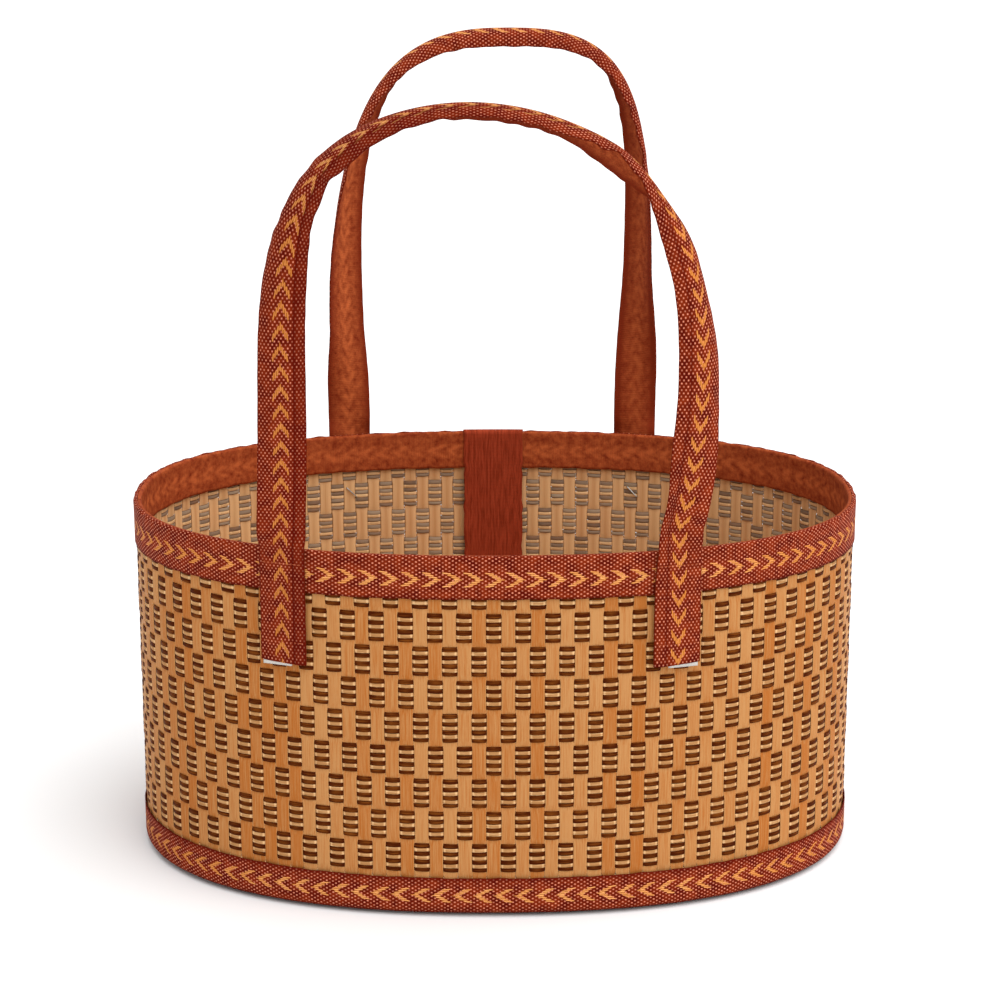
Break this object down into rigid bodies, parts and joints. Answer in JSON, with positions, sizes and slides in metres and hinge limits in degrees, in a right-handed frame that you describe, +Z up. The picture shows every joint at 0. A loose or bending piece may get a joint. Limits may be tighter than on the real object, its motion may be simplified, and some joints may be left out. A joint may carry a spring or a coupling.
{
  "type": "picnic basket",
  "caption": "Oval open picnic basket of woven bamboo, bound at rim and base with chevron ribbon, with flexible ribbon strap handles that stand up, meet in the hand or fold outward.",
  "frame": {"origin": "middle of the base, on the surface that the basket stands on", "axes": "+Z up, +X along the basket's length, +Y from the front handle to the back handle and seam"},
  "size_m": [0.4, 0.2817, 0.4387],
  "materials": {
    "bamboo": "natural split bamboo, woven, satin",
    "ribbon": "jacquard ribbon, woven chevrons and dots",
    "ribbon_reverse": "reverse of the jacquard ribbon, mottled rust",
    "seam_cloth": "plain woven cloth, dark red-brown",
    "strap_core": "white woven plastic strap",
    "staple": "bright steel wire"
  },
  "bodies": {
    "basket": {"wall_mat": "bamboo", "base_mat": "bamboo", "rim_hoop": "bamboo", "base_hoop": "bamboo", "rim_ribbon_outer": "ribbon", "rim_ribbon_inner": "ribbon_reverse", "base_ribbon": "ribbon", "seam_strip": "seam_cloth", "front_left_tab_ribbon_outer": "ribbon", "front_left_tab_core": "strap_core", "front_left_tab_ribbon_inner": "ribbon_reverse", "front_left_staple": "staple", "front_right_tab_ribbon_outer": "ribbon", "front_right_tab_core": "strap_core", "front_right_tab_ribbon_inner": "ribbon_reverse", "front_right_staple": "staple", "back_right_tab_ribbon_outer": "ribbon", "back_right_tab_core": "strap_core", "back_right_tab_ribbon_inner": "ribbon_reverse", "back_right_staple": "staple", "back_left_tab_ribbon_outer": "ribbon", "back_left_tab_core": "strap_core", "back_left_tab_ribbon_inner": "ribbon_reverse", "back_left_staple": "staple"},
    "front_handle": {"front_handle_ribbon_outer": "ribbon", "front_handle_core": "strap_core", "front_handle_ribbon_inner": "ribbon_reverse"},
    "back_handle": {"back_handle_ribbon_outer": "ribbon", "back_handle_core": "strap_core", "back_handle_ribbon_inner": "ribbon_reverse"}
  },
  "joints": [
    {"name": "front_handle_swing", "type": "hinge", "parent": "basket", "child": "front_handle", "pos_m": [-0.00876, -0.12528, 0.208], "axis": [0.9996, -0.0283, 0], "range_deg": [-28, 90], "stiffness_Nm_per_rad": 0.2},
    {"name": "back_handle_swing", "type": "hinge", "parent": "basket", "child": "back_handle", "pos_m": [-0.0007, 0.12971, 0.208], "axis": [-1, -0.0021, 0], "range_deg": [-28, 90], "stiffness_Nm_per_rad": 0.2}
  ]
}
